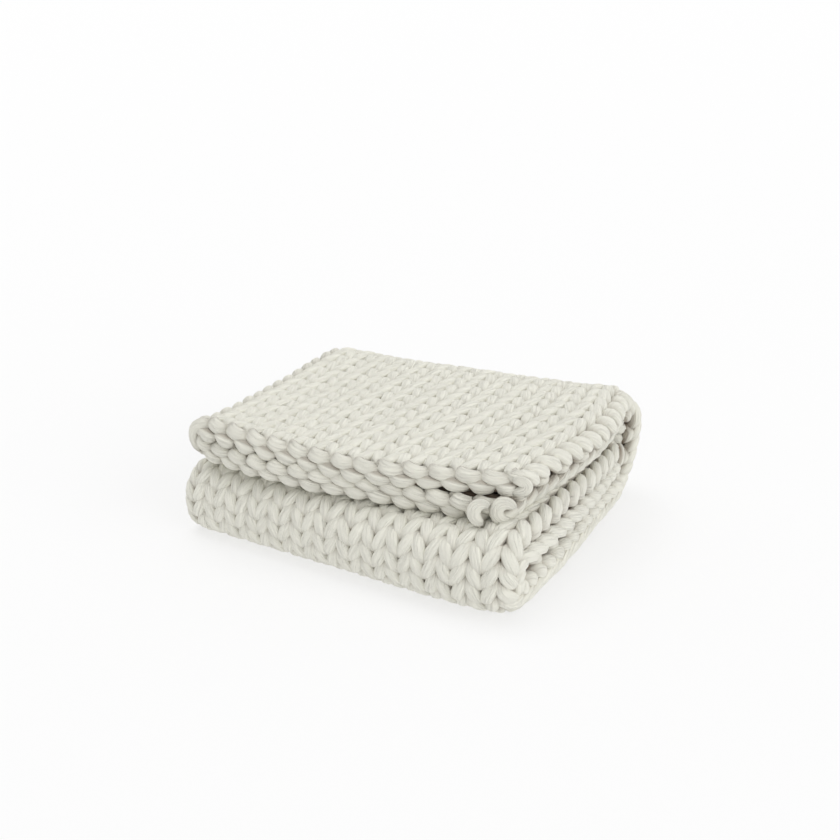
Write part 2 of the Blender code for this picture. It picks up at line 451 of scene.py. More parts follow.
def scaled(tree, vector, amount):
    """A vector times a number."""
    inputs = {0: vector, "Scale": amount}
    return add_node(tree, "ShaderNodeVectorMath", inputs, operation="SCALE").outputs[0]


def combined(tree, x=0.0, y=0.0, z=0.0):
    """A vector of three values."""
    return add_node(tree, "ShaderNodeCombineXYZ", {"X": x, "Y": y, "Z": z}).outputs[0]


def parts_of(tree, vector):
    """The three values of a vector."""
    node = add_node(tree, "ShaderNodeSeparateXYZ", {0: vector})
    return [Field(tree, output) for output in node.outputs]


def position_field(tree):
    return tree.nodes.new("GeometryNodeInputPosition").outputs[0]


def moved(tree, geometry, vector, how="Position"):
    """Geometry with its points put at a place, or moved by an offset."""
    return add_node(tree, "GeometryNodeSetPosition", {"Geometry": geometry, how: vector}).outputs[0]


def named_field(tree, name, data_type="FLOAT_VECTOR"):
    node = add_node(tree, "GeometryNodeInputNamedAttribute", {"Name": name}, data_type=data_type)
    return node.outputs["Attribute"]


def named_number(tree, name):
    return Field(tree, named_field(tree, name, "FLOAT"))


def stored(tree, geometry, name, value, data_type="FLOAT"):
    """Geometry that keeps a value on each of its points."""
    node = add_node(
        tree, "GeometryNodeStoreNamedAttribute", {"Geometry": geometry, "Name": name, "Value": value},
        data_type=data_type, domain="POINT",
    )
    return node.outputs["Geometry"]


def new_group(name, kind, inputs, outputs):
    """An empty node group with named inputs and outputs, and the fields that its inputs give."""
    tree = bpy.data.node_groups.new(name, kind)
    for titles, way in ((inputs, "INPUT"), (outputs, "OUTPUT")):
        for title, socket in titles.items():
            tree.interface.new_socket(title, in_out=way, socket_type="NodeSocket" + socket)
    entry = tree.nodes.new("NodeGroupInput")
    return tree, {title: Field(tree, entry.outputs[title]) for title in inputs}


def new_tree(name, inputs):
    return new_group(name, "GeometryNodeTree", inputs, {"Geometry": "Geometry"})


# ---- The middle of the folded cloth

GUIDE_ROWS = 264
WALK_STEPS = 700
BENT_EDGE = 0.060
BENT_TURN = 0.012
GUIDE_COLUMNS = (25, 41, 19, 41, 25)


def across_lines():
    """Places across the flat cloth, closer together where it bends: at the selvedges and the side turn."""
    stops = (
        0.0, BENT_EDGE, PLY_LENGTH - BENT_TURN, FLAT_WIDTH - PLY_LENGTH + BENT_TURN,
        FLAT_WIDTH - BENT_EDGE, FLAT_WIDTH,
    )
    parts = [np.linspace(stops[i], stops[i + 1], count)[:-1] for i, count in enumerate(GUIDE_COLUMNS)]
    return np.concatenate([*parts, [FLAT_WIDTH]])


def new_object(name, data):
    """An object with this data, linked to the scene."""
    made = bpy.data.objects.new(name, data)
    bpy.context.collection.objects.link(made)
    return made


def folded_line(across, walk, rise=0.0):
    """Folded places along the cloth, at one place across it."""
    return np.array([folded_place(float(across), float(along), rise) for along in walk])


def unit(ways):
    """The same directions, each with a length of one."""
    return ways / np.linalg.norm(ways, axis=2, keepdims=True)


def guide_arrays():
    """Places, half thicknesses and directions over the folded cloth, with rows even on the outside."""
    across_places = across_lines()
    walk = np.linspace(0.0, FLAT_LENGTH, WALK_STEPS + 1)
    shares = np.linspace(0.0, 1.0, GUIDE_ROWS + 1)
    places = np.zeros((len(across_places), GUIDE_ROWS + 1, 4))
    for column, across in enumerate(across_places):
        line = folded_line(across, walk)
        outside = folded_line(across, walk, LOWER_PLY / 2)[:, :3]
        steps = np.linalg.norm(np.diff(outside, axis=0), axis=1)
        walked = np.concatenate([[0.0], np.cumsum(steps)]) / steps.sum()
        for axis in range(4):
            places[column, :, axis] = np.interp(shares, walked, line[:, axis])
    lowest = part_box(CLOTH_NODE)[0]
    places[..., 0] += lowest[0]
    places[..., 1] += lowest[1]
    across_way = unit(np.gradient(places[..., :3], across_places, axis=0))
    along_way = unit(np.gradient(places[..., :3], axis=1))
    outward = unit(np.cross(across_way, along_way))
    return across_places, places, {"across_way": across_way, "along_way": along_way, "outward": outward}


def make_guide():
    """A grid mesh on the middle of the cloth, whose UV map is the flat cloth. The yarn is laid on it."""
    across_places, places, ways = guide_arrays()
    height = GUIDE_ROWS + 1
    faces = [
        (c * height + r, (c + 1) * height + r, (c + 1) * height + r + 1, c * height + r + 1)
        for c in range(len(across_places) - 1)
        for r in range(GUIDE_ROWS)
    ]
    mesh = bpy.data.meshes.new("cloth_guide")
    mesh.from_pydata(places[..., :3].reshape(-1, 3).tolist(), [], faces)
    corner = np.zeros(len(mesh.loops), int)
    mesh.loops.foreach_get("vertex_index", corner)
    flat = np.stack([across_places[corner // height] / FLAT_WIDTH, corner % height / GUIDE_ROWS], axis=1)
    uv_map = mesh.uv_layers.new(name="flat_cloth")
    uv_map.data.foreach_set("uv", flat.ravel())
    for name, way in ways.items():
        attribute = mesh.attributes.new(name, "FLOAT_VECTOR", "POINT")
        attribute.data.foreach_set("vector", way.reshape(-1))
    half = mesh.attributes.new("half_thickness", "FLOAT", "POINT")
    half.data.foreach_set("value", places[..., 3].ravel())
    return new_object("cloth_guide", mesh)


# ---- Yarn laid on the cloth by geometry nodes

# Yarn past an edge of the cloth goes on the way that the cloth has this far inside the edge
HELD_INSIDE = 0.0005
# Noise gathers round its middle: this spreads it over about -1 to 1
NOISE_SPREAD = 3.0
FLOOR_CLEARANCE = 0.0003
NEARLY_ZERO = 0.0001

# The soft lengthwise folds of the stuffed tube: how fine round it and along it, how deep, and their seed
FOLDS_ROUND = 1.7
FOLDS_ALONG = 13.0
FOLD_DEPTH = 0.0010
FOLD_SEED = 3.7

# Legs pressed flat stay level for longer: 0 is a smooth wave. The shift keeps them longer on the face.
FLAT_FACED = 1.40
FACE_SHIFT = 0.20
# Section of the pressed yarn: 2 is an ellipse, more is squarer
SECTION_POWER = 2.5

# The turn of a course at a selvedge: its points, reach and facing, and how much less painted shade it gets
# for its depth
TURN_POINTS = 9
TURN_REACH = 0.003
TURN_FACING = 1.1
TURN_LESS_SHADE = 0.7
# The least distance of a course from an end of the cloth, and how nearly a row has to be whole
COURSE_INSET = 0.012
ROW_SLACK = 0.01

# How the stray of the yarn changes from stitch to stitch and from row to row, and its noise
STITCH_STRAY = 1.7
ROW_STRAY = 1.9
EDGE_STRAY = 1.3
COURSE_SEEDS = (0.0, 5.0, 9.0)
RISE_STRAY = 0.5
EDGE_SEEDS = (1.0, 4.0)
STRANDS_APART = 100
WIDTH_STRAY = 0.03
WIDTH_STRAY_SCALE = 2.3
WIDTH_SEED = 2.0

# The twisted edge: how round its corners are, how its strands tilt and swell, and how much painted shade
# they and the loose loops get for their depth
CORNER_ROUNDING = 0.007
CORNER_TURN = 0.7
STRAND_TILT = 0.55
STRAND_FULLNESS = 0.08
PLUMPER_END = 0.14
PLUMPER_POWER = 5.0
STRAND_SHADE = (0.24, 0.16)
LOOP_SHADE = 0.1
LOOP_TAPER_POWER = 0.3
LEAST_TAPER = 0.05


def sampled(tree, guide, name, flat_place, data_type="FLOAT_VECTOR"):
    """The guide's position, or an attribute of it, at a place on the flat cloth."""
    value = position_field(tree) if name == "position" else named_field(tree, name, data_type)
    uv_map = named_field(tree, "flat_cloth")
    node = add_node(
        tree, "GeometryNodeSampleUVSurface",
        {"Mesh": guide, "Value": value, "UV Map": uv_map, "Sample UV": flat_place}, data_type=data_type,
    )
    return node.outputs["Value"]


def on_flat_cloth(tree, across, along):
    """The UV place of a spot on the flat cloth, kept inside its edges, and the spot that is kept."""
    held_across = across.held(HELD_INSIDE, FLAT_WIDTH - HELD_INSIDE)
    held_along = along.held(HELD_INSIDE, FLAT_LENGTH - HELD_INSIDE)
    flat_place = combined(tree, held_across / FLAT_WIDTH, held_along / FLAT_LENGTH)
    return flat_place, held_across, held_along


def laid_on_cloth(tree, guide, across, along, rise):
    """Where yarn lies: flat place across and along in metres, and its rise from the middle of the ply.

    Past an edge of the cloth the yarn keeps straight on. Also gives the outward direction.
    """
    flat_place, held_across, held_along = on_flat_cloth(tree, across, along)
    outward = sampled(tree, guide, "outward", flat_place)
    place = vector_sum(
        tree,
        sampled(tree, guide, "position", flat_place),
        scaled(tree, sampled(tree, guide, "across_way", flat_place), across - held_across),
        scaled(tree, sampled(tree, guide, "along_way", flat_place), along - held_along),
        scaled(tree, outward, rise),
    )
    return place, outward


def noise_field(tree, place, scale, seed):
    """Smooth noise from -1 to 1 at a place, the same in every run."""
    node = add_node(
        tree, "ShaderNodeTexNoise", {"Vector": place, "W": seed, "Scale": scale, "Detail": 1.0},
        noise_dimensions="4D",
    )
    return (Field(tree, node.outputs[0]) - 0.5) * NOISE_SPREAD


def strays(tree, place, seeds, given):
    """How far hand-made yarn strays at a place, once for each seed."""
    return [noise_field(tree, place, 1.0, seed) * given["Unevenness"] for seed in seeds]


def straight_curve(tree, points):
    """A curve of this many points that is not laid yet."""
    line = add_node(tree, "GeometryNodeMeshLine", {"Count": points}, mode="OFFSET")
    return add_node(tree, "GeometryNodeMeshToCurve", {"Mesh": line.outputs[0]}).outputs[0]


def guide_mesh(tree, given):
    return add_node(tree, "GeometryNodeObjectInfo", {"Object": given["Guide"]}).outputs["Geometry"]


def marked(tree, line, hollow, fullness, outward, given):
    """Keep on a line how deep it lies, which sets its painted shade, its yarn's radius and the way out of
    the cloth.
    """
    with_depth = stored(tree, line, "hollow", hollow)
    with_radius = stored(tree, with_depth, "tube_radius", fullness * given["Radius"])
    return stored(tree, with_radius, "outward_way", outward, "FLOAT_VECTOR")


def tube_mesh(tree, line, given):
    """Give a marked line its soft, creased, slightly flattened tube, and end the tree."""
    free = add_node(
        tree, "GeometryNodeSetCurveNormal", {"Curve": line, "Normal": named_field(tree, "outward_way")},
        mode="FREE",
    )
    length = tree.nodes.new("GeometryNodeSplineParameter").outputs["Length"]
    measured = stored(tree, free.outputs[0], "yarn_length", length)
    circle = add_node(
        tree, "GeometryNodeCurvePrimitiveCircle", {"Resolution": given["Sides"], "Radius": 1.0}
    )
    position = position_field(tree)
    section = stored(tree, circle.outputs["Curve"], "yarn_round", position, "FLOAT_VECTOR")
    thick, wide = (part.size().power(SECTION_POWER) for part in parts_of(tree, position)[:2])
    section = moved(tree, section, scaled(tree, position, (thick + wide).power(-1 / SECTION_POWER)))
    pressed = add_node(
        tree, "GeometryNodeTransform",
        {"Geometry": section, "Scale": combined(tree, given["Flatness"], 1.0, 1.0)},
    )
    tube = add_node(
        tree, "GeometryNodeCurveToMesh",
        {"Curve": measured, "Profile Curve": pressed.outputs[0], "Scale": named_number(tree, "tube_radius"),
         "Fill Caps": True},
    )
    resting = rest_on_floor(tree, soft_folds(tree, tube.outputs[0], given))
    smooth = add_node(tree, "GeometryNodeSetShadeSmooth", {"Geometry": resting})
    whole = add_node(tree, "GeometryNodeRealizeInstances", {"Geometry": smooth.outputs[0]})
    finish = add_node(
        tree, "GeometryNodeSetMaterial", {"Geometry": whole.outputs[0], "Material": given["Material"]}
    )
    end = tree.nodes.new("NodeGroupOutput")
    join(tree, finish.outputs[0], end.inputs[0])


def round_and_along(tree, round_way, length, around, lengthwise):
    """Where a pattern is read on a yarn: round it and along it, at a scale for each."""
    thick, wide, _ = parts_of(tree, round_way)
    return combined(tree, thick * around, wide * around, length * lengthwise)


def soft_folds(tree, geometry, given):
    """Soft lengthwise folds of the stuffed tube."""
    round_way = named_field(tree, "yarn_round")
    length = named_number(tree, "yarn_length")
    place = round_and_along(tree, round_way, length, FOLDS_ROUND, FOLDS_ALONG)
    depth = noise_field(tree, place, 1.0, FOLD_SEED) * given["Fold Depth"]
    normal = tree.nodes.new("GeometryNodeInputNormal").outputs[0]
    return moved(tree, geometry, scaled(tree, normal, depth), "Offset")


def rest_on_floor(tree, geometry):
    """Nothing goes below the floor."""
    x, y, z = parts_of(tree, position_field(tree))
    return moved(tree, geometry, combined(tree, x, y, z.maximum(FLOOR_CLEARANCE)))


YARN_INPUTS = {
    "Sides": "Int", "Radius": "Float", "Flatness": "Float", "Fold Depth": "Float", "Material": "Material",
}


def courses_tree():
    """Courses of knitting in pairs, each pair one yarn that turns round at a selvedge."""
    tree, given = new_tree("knitted_courses", {
        **YARN_INPUTS, "Guide": "Object", "First Row": "Int", "Pairs": "Int", "Rows": "Int",
        "Stitches": "Int", "Points": "Int", "Turn Points": "Int", "Start": "Float", "Side": "Float",
        "Stitch Width": "Float", "Row Height": "Float", "End Edge": "Float", "Turn Reach": "Float",
        "Loop Height": "Float", "Loop Lean": "Float", "Fullness": "Float", "Unevenness": "Float",
    })
    guide = guide_mesh(tree, given)
    row_points = given["Stitches"] * given["Points"] + 1
    all_points = row_points * 2 + given["Turn Points"]
    copies = add_node(
        tree, "GeometryNodeDuplicateElements",
        {"Geometry": straight_curve(tree, all_points), "Amount": given["Pairs"]}, domain="SPLINE",
    )
    pairs = stored(tree, copies.outputs[0], "pair", copies.outputs["Duplicate Index"])
    index = Field(tree, tree.nodes.new("GeometryNodeSplineParameter").outputs["Index"])
    walked = index.minimum(all_points - 1 - index).minimum(row_points - 1)
    stitch = walked / given["Points"]
    turn = stitch * (2 * math.pi)
    link = ((index - row_points + 1) / (given["Turn Points"] + 1)).held(0.0, 1.0) * math.pi
    row = given["First Row"] + named_number(tree, "pair") * 2 + (1 - link.cos()) * 0.5
    stray_place = combined(tree, stitch * STITCH_STRAY, row * ROW_STRAY, given["Side"])
    stray = strays(tree, stray_place, COURSE_SEEDS, given)
    swing = (turn * 2).sin() * given["Loop Lean"]
    sideways = (turn / (2 * math.pi) + swing) * given["Stitch Width"] + link.sin() * given["Turn Reach"]
    across = given["Start"] + given["Side"] * sideways + stray[0]
    height = (row + 0.5 + given["Loop Height"] * turn.cos()) * given["Row Height"]
    along = (given["End Edge"] + height + stray[1]).held(COURSE_INSET, FLAT_LENGTH - COURSE_INSET)
    swung = (turn * 2).cos() * -FLAT_FACED + FACE_SHIFT
    facing = swung.tanh() / math.tanh(FLAT_FACED) + link.sin() * TURN_FACING
    flat_place = on_flat_cloth(tree, across, along)[0]
    half = Field(tree, sampled(tree, guide, "half_thickness", flat_place, "FLOAT"))
    lift = half - given["Radius"] * given["Flatness"]
    place, outward = laid_on_cloth(tree, guide, across, along, facing * lift + stray[2] * RISE_STRAY)
    laid = stored(tree, moved(tree, pairs, place), "row", row)
    # Painted shade mask: yarn deeper behind the face of the cloth gets more of the dark hollow colour, the
    # turns at the selvedges less
    hollow = (0.5 - facing * 0.5) * (1 - link.sin() * TURN_LESS_SHADE)
    width_stray = noise_field(tree, stray_place, WIDTH_STRAY_SCALE, WIDTH_SEED) * WIDTH_STRAY
    line = marked(tree, laid, hollow, 1 + given["Fullness"] * facing + width_stray, outward, given)
    row_there = named_number(tree, "row")
    outside = (-ROW_SLACK - row_there).maximum(row_there - given["Rows"] + (1 - ROW_SLACK))
    is_outside = add_node(
        tree, "FunctionNodeCompare", {"A": outside, "B": 0.0}, data_type="FLOAT", operation="GREATER_THAN"
    )
    kept = add_node(
        tree, "GeometryNodeDeleteGeometry", {"Geometry": line, "Selection": is_outside.outputs[0]},
        domain="POINT",
    )
    tube_mesh(tree, kept.outputs[0], given)
    return tree


def rounded_corner(past):
    """Distances from a corner along its two sides, for a way past it that cuts the corner softly."""
    square = past * past + 4 * CORNER_ROUNDING**2
    root = square.root()
    return (root + past) * 0.5, (root - past) * 0.5


def twisted_edge_tree():
    """One strand of a twisted edge, wound along an end of the cloth from selvedge to selvedge."""
    tree, given = new_tree("twisted_edge", {
        **YARN_INPUTS, "Guide": "Object", "Points": "Int", "Turns": "Float", "Along": "Float",
        "Facing": "Float", "Height": "Float", "Phase": "Float", "Coil Depth": "Float",
        "Coil Height": "Float", "Coil Overlap": "Float", "Tail": "Float", "Side Edge": "Float",
        "Unevenness": "Float",
    })
    guide = guide_mesh(tree, given)
    points = given["Turns"] * given["Points"] + 1
    share = Field(tree, tree.nodes.new("GeometryNodeInputIndex").outputs[0]) / (points - 1)
    turn = share * given["Turns"] * (2 * math.pi) + given["Phase"]
    span = FLAT_WIDTH - 2 * given["Side Edge"]
    walked = share * (span + 2 * given["Tail"]) - given["Tail"] + turn.sin() * given["Coil Overlap"]
    near_across, near_back = rounded_corner(walked)
    far_back, far_across = rounded_corner(walked - span)
    stray_place = combined(tree, share * given["Turns"] * EDGE_STRAY, given["Height"] * STRANDS_APART)
    stray = strays(tree, stray_place, EDGE_SEEDS, given)
    across = given["Side Edge"] + near_across + span - far_across - walked
    along = given["Along"] - near_back - far_back + turn.cos() * given["Coil Depth"] + stray[0]
    rise = given["Height"] + turn.sin() * given["Coil Height"] + stray[1]
    place = laid_on_cloth(tree, guide, across, along, rise)[0]
    flat_place = on_flat_cloth(tree, across, along)[0]
    near_turned = near_back / (near_back + near_across)
    far_turned = far_back / (far_back + far_across)
    on_edge = given["Facing"] * (1 - near_turned - far_turned)
    tilt = given["Height"] / (given["Height"].size() + NEARLY_ZERO) * STRAND_TILT * on_edge.size()

    def part_of_way(name, amount):
        return scaled(tree, sampled(tree, guide, name, flat_place), amount)

    outward = vector_sum(
        tree,
        part_of_way("outward", tilt),
        part_of_way("along_way", on_edge),
        part_of_way("across_way", (far_turned - near_turned) * CORNER_TURN),
        part_of_way("outward", (far_turned + near_turned) * CORNER_TURN),
    )
    # Painted shade: a strand's share of the hollow colour rises and falls with its winding
    hollow = STRAND_SHADE[0] - turn.cos() * STRAND_SHADE[1]
    plumper = (walked / span).maximum(0.0).power(PLUMPER_POWER) * PLUMPER_END
    fullness = 1 + turn.cos() * STRAND_FULLNESS + plumper
    laid = moved(tree, straight_curve(tree, points), place)
    tube_mesh(tree, marked(tree, laid, hollow, fullness, outward, given), given)
    return tree


def loose_loop_tree():
    """One loose loop of edge yarn: a part of an ellipse that drifts towards its facing side."""
    tree, given = new_tree("loose_loop", {
        **YARN_INPUTS, "Points": "Int", "Centre": "Vector", "Reach": "Vector", "Rise": "Vector",
        "Facing": "Vector", "Drift": "Float", "First Angle": "Float", "Last Angle": "Float",
    })
    share = Field(tree, tree.nodes.new("GeometryNodeInputIndex").outputs[0]) / (given["Points"] - 1)
    angle = given["First Angle"] + share * (given["Last Angle"] - given["First Angle"])
    place = vector_sum(
        tree,
        given["Centre"],
        scaled(tree, given["Reach"], angle.cos()),
        scaled(tree, given["Rise"], angle.sin()),
        scaled(tree, given["Facing"], share * given["Drift"]),
    )
    laid = moved(tree, straight_curve(tree, given["Points"]), place)
    tapered = (share * math.pi).sin().maximum(LEAST_TAPER).power(LOOP_TAPER_POWER)
    # Painted shade: the loose loops get an even touch of the hollow colour
    tube_mesh(tree, marked(tree, laid, LOOP_SHADE, tapered, given["Facing"], given), given)
    return tree


# ---- Finish of the yarn, with its painted shade

# Creases and jersey grain: how fine they are round the yarn and along it, and how high the grain is
CREASES_ROUND = 3.4
CREASES_ALONG = 16
GRAIN_ROUND = 26
GRAIN_ALONG = 1100
GRAIN_HEIGHT = 0.12
BUMP_STRENGTH = 0.8

# Painted shade: the hollow colour sets in where a side of the yarn turns away from the outside of the cloth
# and where it lies deep in the knit, and a little in the crease valleys
TURNED_FROM = 0.42
TURNED_POWER = 1.2
TURNED_SHADE = 1.35
SHADE_LIMIT = (0.44, 0.65)
DEPTH_POWER = 1.3
DEEP_SHADE = 0.92
CREASE_SHADE = 0.08


def crease_group():
    """Fine lengthwise creases and soft jersey grain: a height, and a mask of the crease ridges whose low
    valleys get painted shade.
    """
    tree, given = new_group(
        "yarn_creases", "ShaderNodeTree",
        {"Round": "Vector", "Length": "Float", "Creases": "Float", "Grain": "Float"},
        {"Height": "Float", "Mask": "Float"},
    )

    def pattern(around, lengthwise, **details):
        place = round_and_along(tree, given["Round"], given["Length"], around, lengthwise)
        node = add_node(tree, "ShaderNodeTexNoise", {"Vector": place, "Scale": 1.0, **details})
        return Field(tree, node.outputs[0])

    ridge = pattern(CREASES_ROUND, CREASES_ALONG, Detail=3.0, Distortion=0.4)
    soft = ridge.math("PINGPONG", ridge * 2.0, 1.0)
    grain = pattern(GRAIN_ROUND, GRAIN_ALONG, Detail=1.0)
    end = tree.nodes.new("NodeGroupOutput")
    join(tree, soft * given["Creases"] + grain * given["Grain"], end.inputs["Height"])
    join(tree, soft, end.inputs["Mask"])
    return tree


def yarn_material(look):
    """Matte undyed cotton jersey, with painted shade: warm dark brown down between the loops, on yarn sides
    turned from the outside and in crease valleys.
    """
    material = bpy.data.materials.new("cotton_tube_yarn")
    material.use_nodes = True
    tree = material.node_tree
    tree.nodes.clear()
    round_way, length, hollow = (
        add_node(tree, "ShaderNodeAttribute", attribute_name=name).outputs
        for name in ("yarn_round", "yarn_length", "hollow")
    )
    creased = add_node(
        tree, "ShaderNodeGroup",
        {"Round": round_way["Vector"], "Length": length["Fac"], "Creases": 1.0, "Grain": GRAIN_HEIGHT},
        node_tree=crease_group(),
    ).outputs
    depth = Field(tree, hollow["Fac"])
    facing = parts_of(tree, round_way["Vector"])[0]
    turned_in = (TURNED_FROM - facing).held(0.0, 1.0).power(TURNED_POWER) * TURNED_SHADE
    shaded = turned_in.minimum(SHADE_LIMIT[0] + depth * SHADE_LIMIT[1])
    deep = (depth.maximum(0.0).power(DEPTH_POWER) + shaded).minimum(1.0)
    # Painted shade: hollow colour for depth and turned-away sides, and a little in crease valleys
    painted_shade = deep * DEEP_SHADE + (1 - Field(tree, creased["Mask"])) * CREASE_SHADE
    tone = add_node(
        tree, "ShaderNodeMix", {"Factor": painted_shade, "A": look.colour, "B": look.painted_shade_colour}, data_type="RGBA"
    )
    bump = add_node(
        tree, "ShaderNodeBump",
        {"Height": creased["Height"], "Distance": look.crease_depth, "Strength": BUMP_STRENGTH},
    )
    shader = add_node(
        tree, "ShaderNodeBsdfPrincipled",
        {"Base Color": tone.outputs["Result"], "Roughness": look.roughness, "Normal": bump.outputs[0],
         "Sheen Weight": 0.25, "Sheen Roughness": 0.6, "Specular IOR Level": 0.25},
    )
    output = tree.nodes.new("ShaderNodeOutputMaterial")
    join(tree, shader.outputs[0], output.inputs[0])
    return material


# ---- Operators

OUTER_STITCHES = 15
EDGE_INSET = 0.008
EDGE_SIDE_INSET = 0.010
EDGE_POINTS = 20
LOOP_SIDES = 18
LOOP_POINTS = 40


def guide_object():
    guide = bpy.data.objects.get("cloth_guide")
    if guide is None:
        raise RuntimeError("the cloth guide comes first")
    return guide


def shared_values(sizes):
    """Values for the inputs that the trees share."""
    width = (FLAT_WIDTH - 2 * sizes.side_edge) / sizes.columns
    return {
        "Guide": guide_object(), "Material": bpy.data.materials["cotton_tube_yarn"],
        "Radius": sizes.yarn_width / 2, "Flatness": sizes.flatness, "Fullness": sizes.fullness,
        "Fold Depth": FOLD_DEPTH, "Unevenness": sizes.unevenness, "Stitch Width": width,
        "Start": sizes.side_edge + OUTER_STITCHES * width, "End Edge": sizes.end_edge,
        "Rows": sizes.rows, "Row Height": (FLAT_LENGTH - 2 * sizes.end_edge) / sizes.rows,
        "Loop Height": sizes.loop_height, "Loop Lean": sizes.loop_lean,
        "Turn Points": TURN_POINTS, "Turn Reach": TURN_REACH,
    }


def knit(name, tree, sizes, own_values):
    """Run a tree on these values and keep its result as a plain mesh that stands for the cloth."""
    values = {**shared_values(sizes), **own_values}
    piece = new_object(name, bpy.data.meshes.new(name))
    modifier = piece.modifiers.new(tree.name, "NODES")
    modifier.node_group = tree
    for item in tree.interface.items_tree:
        if item.in_out == "INPUT":
            modifier[item.identifier] = values[item.name]
    bpy.context.view_layer.update()
    depsgraph = bpy.context.evaluated_depsgraph_get()
    mesh = bpy.data.meshes.new_from_object(piece.evaluated_get(depsgraph))
    if not mesh.polygons:
        raise RuntimeError(f"{name} came out empty")
    piece.modifiers.clear()
    piece.data = mesh
    mesh.name = name
    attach(piece, "root")
    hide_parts(CLOTH_NODE)


class BLANKET_OT_guide(bpy.types.Operator):
    """Lay out the middle of the folded cloth and make the yarn's finish"""

    bl_idname = "blanket.guide"
    bl_label = "Lay Out Cloth"

    def execute(self, context):
        make_guide()
        yarn_material(context.scene.blanket_look)
        return {"FINISHED"}


class BLANKET_OT_outer_courses(bpy.types.Operator):
    """Knit the ply that shows outside, with the turn at the left-hand end"""

    bl_idname = "blanket.outer_courses"
    bl_label = "Knit Outer Ply"

    def execute(self, context):
        sizes = context.scene.blanket_sizes
        tree = courses_tree()
        # First row, pairs of rows, sides of the tube and points a stitch, with more where it shows
        stretches = {
            "hidden": (0, 5, 9, 12),
            "front": (10, 5, 16, 22),
            "under": (20, 4, 10, 16),
            "back": (28, 5, 16, 22),
            "top": (38, 6, 16, 22),
        }
        for name, (first, pairs, sides, points) in stretches.items():
            knit(f"outer_courses_{name}", tree, sizes, {
                "First Row": first, "Pairs": pairs, "Sides": sides, "Points": points,
                "Side": -1.0, "Stitches": OUTER_STITCHES,
            })
        return {"FINISHED"}


class BLANKET_OT_inner_courses(bpy.types.Operator):
    """Knit the ply that lies inside the doubled cloth"""

    bl_idname = "blanket.inner_courses"
    bl_label = "Knit Inner Ply"

    def execute(self, context):
        sizes = context.scene.blanket_sizes
        knit("inner_courses", courses_tree(), sizes, {
            "First Row": -1, "Pairs": sizes.rows // 2 + 1, "Sides": 9, "Points": 14,
            "Side": 1.0, "Stitches": sizes.columns - OUTER_STITCHES,
        })
        return {"FINISHED"}


class BLANKET_OT_twisted_edges(bpy.types.Operator):
    """Wind the twisted edges along both ends of the cloth"""

    bl_idname = "blanket.twisted_edges"
    bl_label = "Wind Twisted Edges"

    def execute(self, context):
        sizes = context.scene.blanket_sizes
        edge = context.scene.blanket_edge
        tree = twisted_edge_tree()
        # Which face of the ply the strand lies at, where its winding starts, and how far it stands out
        strands = {"outer": (1, 0.0, -0.004), "inner": (-1, math.pi, 0.000)}
        for name, along, facing, half, sides, tail in (
            ("front", FLAT_LENGTH - EDGE_INSET, 1.0, TOP_PLY / 2, 16, edge.corner_tail),
            ("hidden", EDGE_INSET, -1.0, LOWER_PLY / 2, 9, 0.0),
        ):
            for strand, (side, phase, shift) in strands.items():
                knit(f"{name}_edge_{strand}", tree, sizes, {
                    "Radius": edge.yarn_width / 2, "Sides": sides, "Points": EDGE_POINTS, "Tail": tail,
                    "Turns": sizes.columns * (1 + 2 * tail / FLAT_WIDTH), "Phase": phase,
                    "Along": along + facing * shift, "Facing": facing, "Side Edge": EDGE_SIDE_INSET,
                    "Height": side * (half - edge.strand_inset), "Coil Depth": edge.coil_depth,
                    "Coil Height": edge.coil_height, "Coil Overlap": edge.coil_overlap,
                })
        return {"FINISHED"}


def placed(across, along):
    """The middle of the folded cloth at a place on the flat cloth, in the frame."""
    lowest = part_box(CLOTH_NODE)[0]
    x, y, z, _ = folded_place(across, along)
    return Vector((x + lowest[0], y + lowest[1], z))


class BLANKET_OT_loose_loops(bpy.types.Operator):
    """Lay the loose loops at the corners and in the eye of the back turn, and take the guide away"""

    bl_idname = "blanket.loose_loops"
    bl_label = "Lay Loose Loops"

    def execute(self, context):
        tree = loose_loop_tree()
        rightward = Vector((0.82, 0.50, 0.0))
        frontward = Vector((0.35, -0.90, 0.25)).normalized()
        upward = Vector((-0.15, 0.1, 1.0))
        # The loops lie at these places on the flat cloth, a little in from its edges
        tucked = (placed(0.004, 0.004) + placed(FLAT_WIDTH - 0.004, 0.004)) / 2
        upper_corner = placed(0.014, FLAT_LENGTH - 0.010)
        lower_corner = placed(FLAT_WIDTH - 0.018, FLAT_LENGTH - 0.006)
        # Middle, half width, half height, facing side, drift, first and last angle in half turns, radius
        loops = {
            "tucked_loop": (
                tucked + Vector((0.006, -0.006, 0.0)), Vector((0.0, 0.038, 0.0)),
                Vector((0.0, 0.0, 0.0115)), Vector((1.0, 0.0, 0.0)), 0.0, -0.5, 0.5, 0.0125,
            ),
            "upper_corner_loop": (
                upper_corner, rightward * 0.016, upward * 0.0085, frontward, 0.004, -0.62, 0.55, 0.0092,
            ),
            "lower_corner_loop": (
                lower_corner - rightward * 0.024 + frontward * 0.010, rightward * 0.013, upward * 0.0125,
                frontward, 0.004, 0.26, 1.50, 0.0100,
            ),
            "lower_corner_turn": (
                lower_corner + rightward * 0.009 + frontward * 0.008, rightward * 0.014, upward * 0.0130,
                frontward, -0.006, 0.14, 1.62, 0.0106,
            ),
        }
        for name, (centre, reach, rise, facing, drift, first, last, radius) in loops.items():
            knit(name, tree, context.scene.blanket_sizes, {
                "Radius": radius, "Sides": LOOP_SIDES, "Points": LOOP_POINTS, "Centre": centre,
                "Reach": reach, "Rise": rise, "Facing": facing, "Drift": drift,
                "First Angle": first * math.pi, "Last Angle": last * math.pi,
            })
        bpy.data.objects.remove(guide_object())
        return {"FINISHED"}


